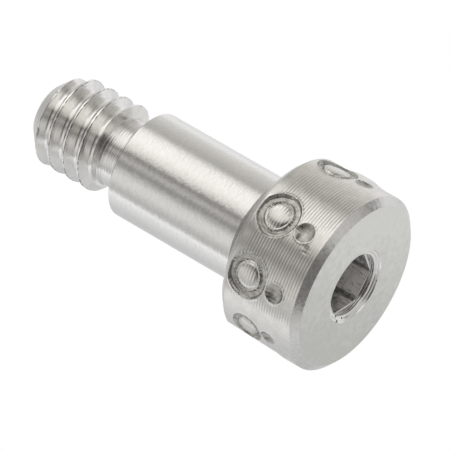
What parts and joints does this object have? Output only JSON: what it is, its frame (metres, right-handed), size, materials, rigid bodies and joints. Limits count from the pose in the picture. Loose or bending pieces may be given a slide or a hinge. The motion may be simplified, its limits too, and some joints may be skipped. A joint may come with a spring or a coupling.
{
  "type": "shoulder bolt",
  "caption": "Steel socket-head shoulder bolt: stamped cylindrical head with a hex socket, ground shoulder, relief groove and neck, and a short right-hand threaded end.",
  "frame": {"origin": "centre of the flat end face of the head, which is the lowest point of the bolt standing on its head", "axes": "+Z along the bolt's axis, from the head to the threaded end; +X through a corner of the hex socket"},
  "size_m": [0.008, 0.008, 0.0161],
  "materials": {
    "steel": "turned and ground bare stainless steel: fine rings on the head, an axially glinting ground shoulder, a smooth faced end"
  },
  "bodies": {
    "root": {"shoulder_bolt": "steel"}
  },
  "joints": []
}
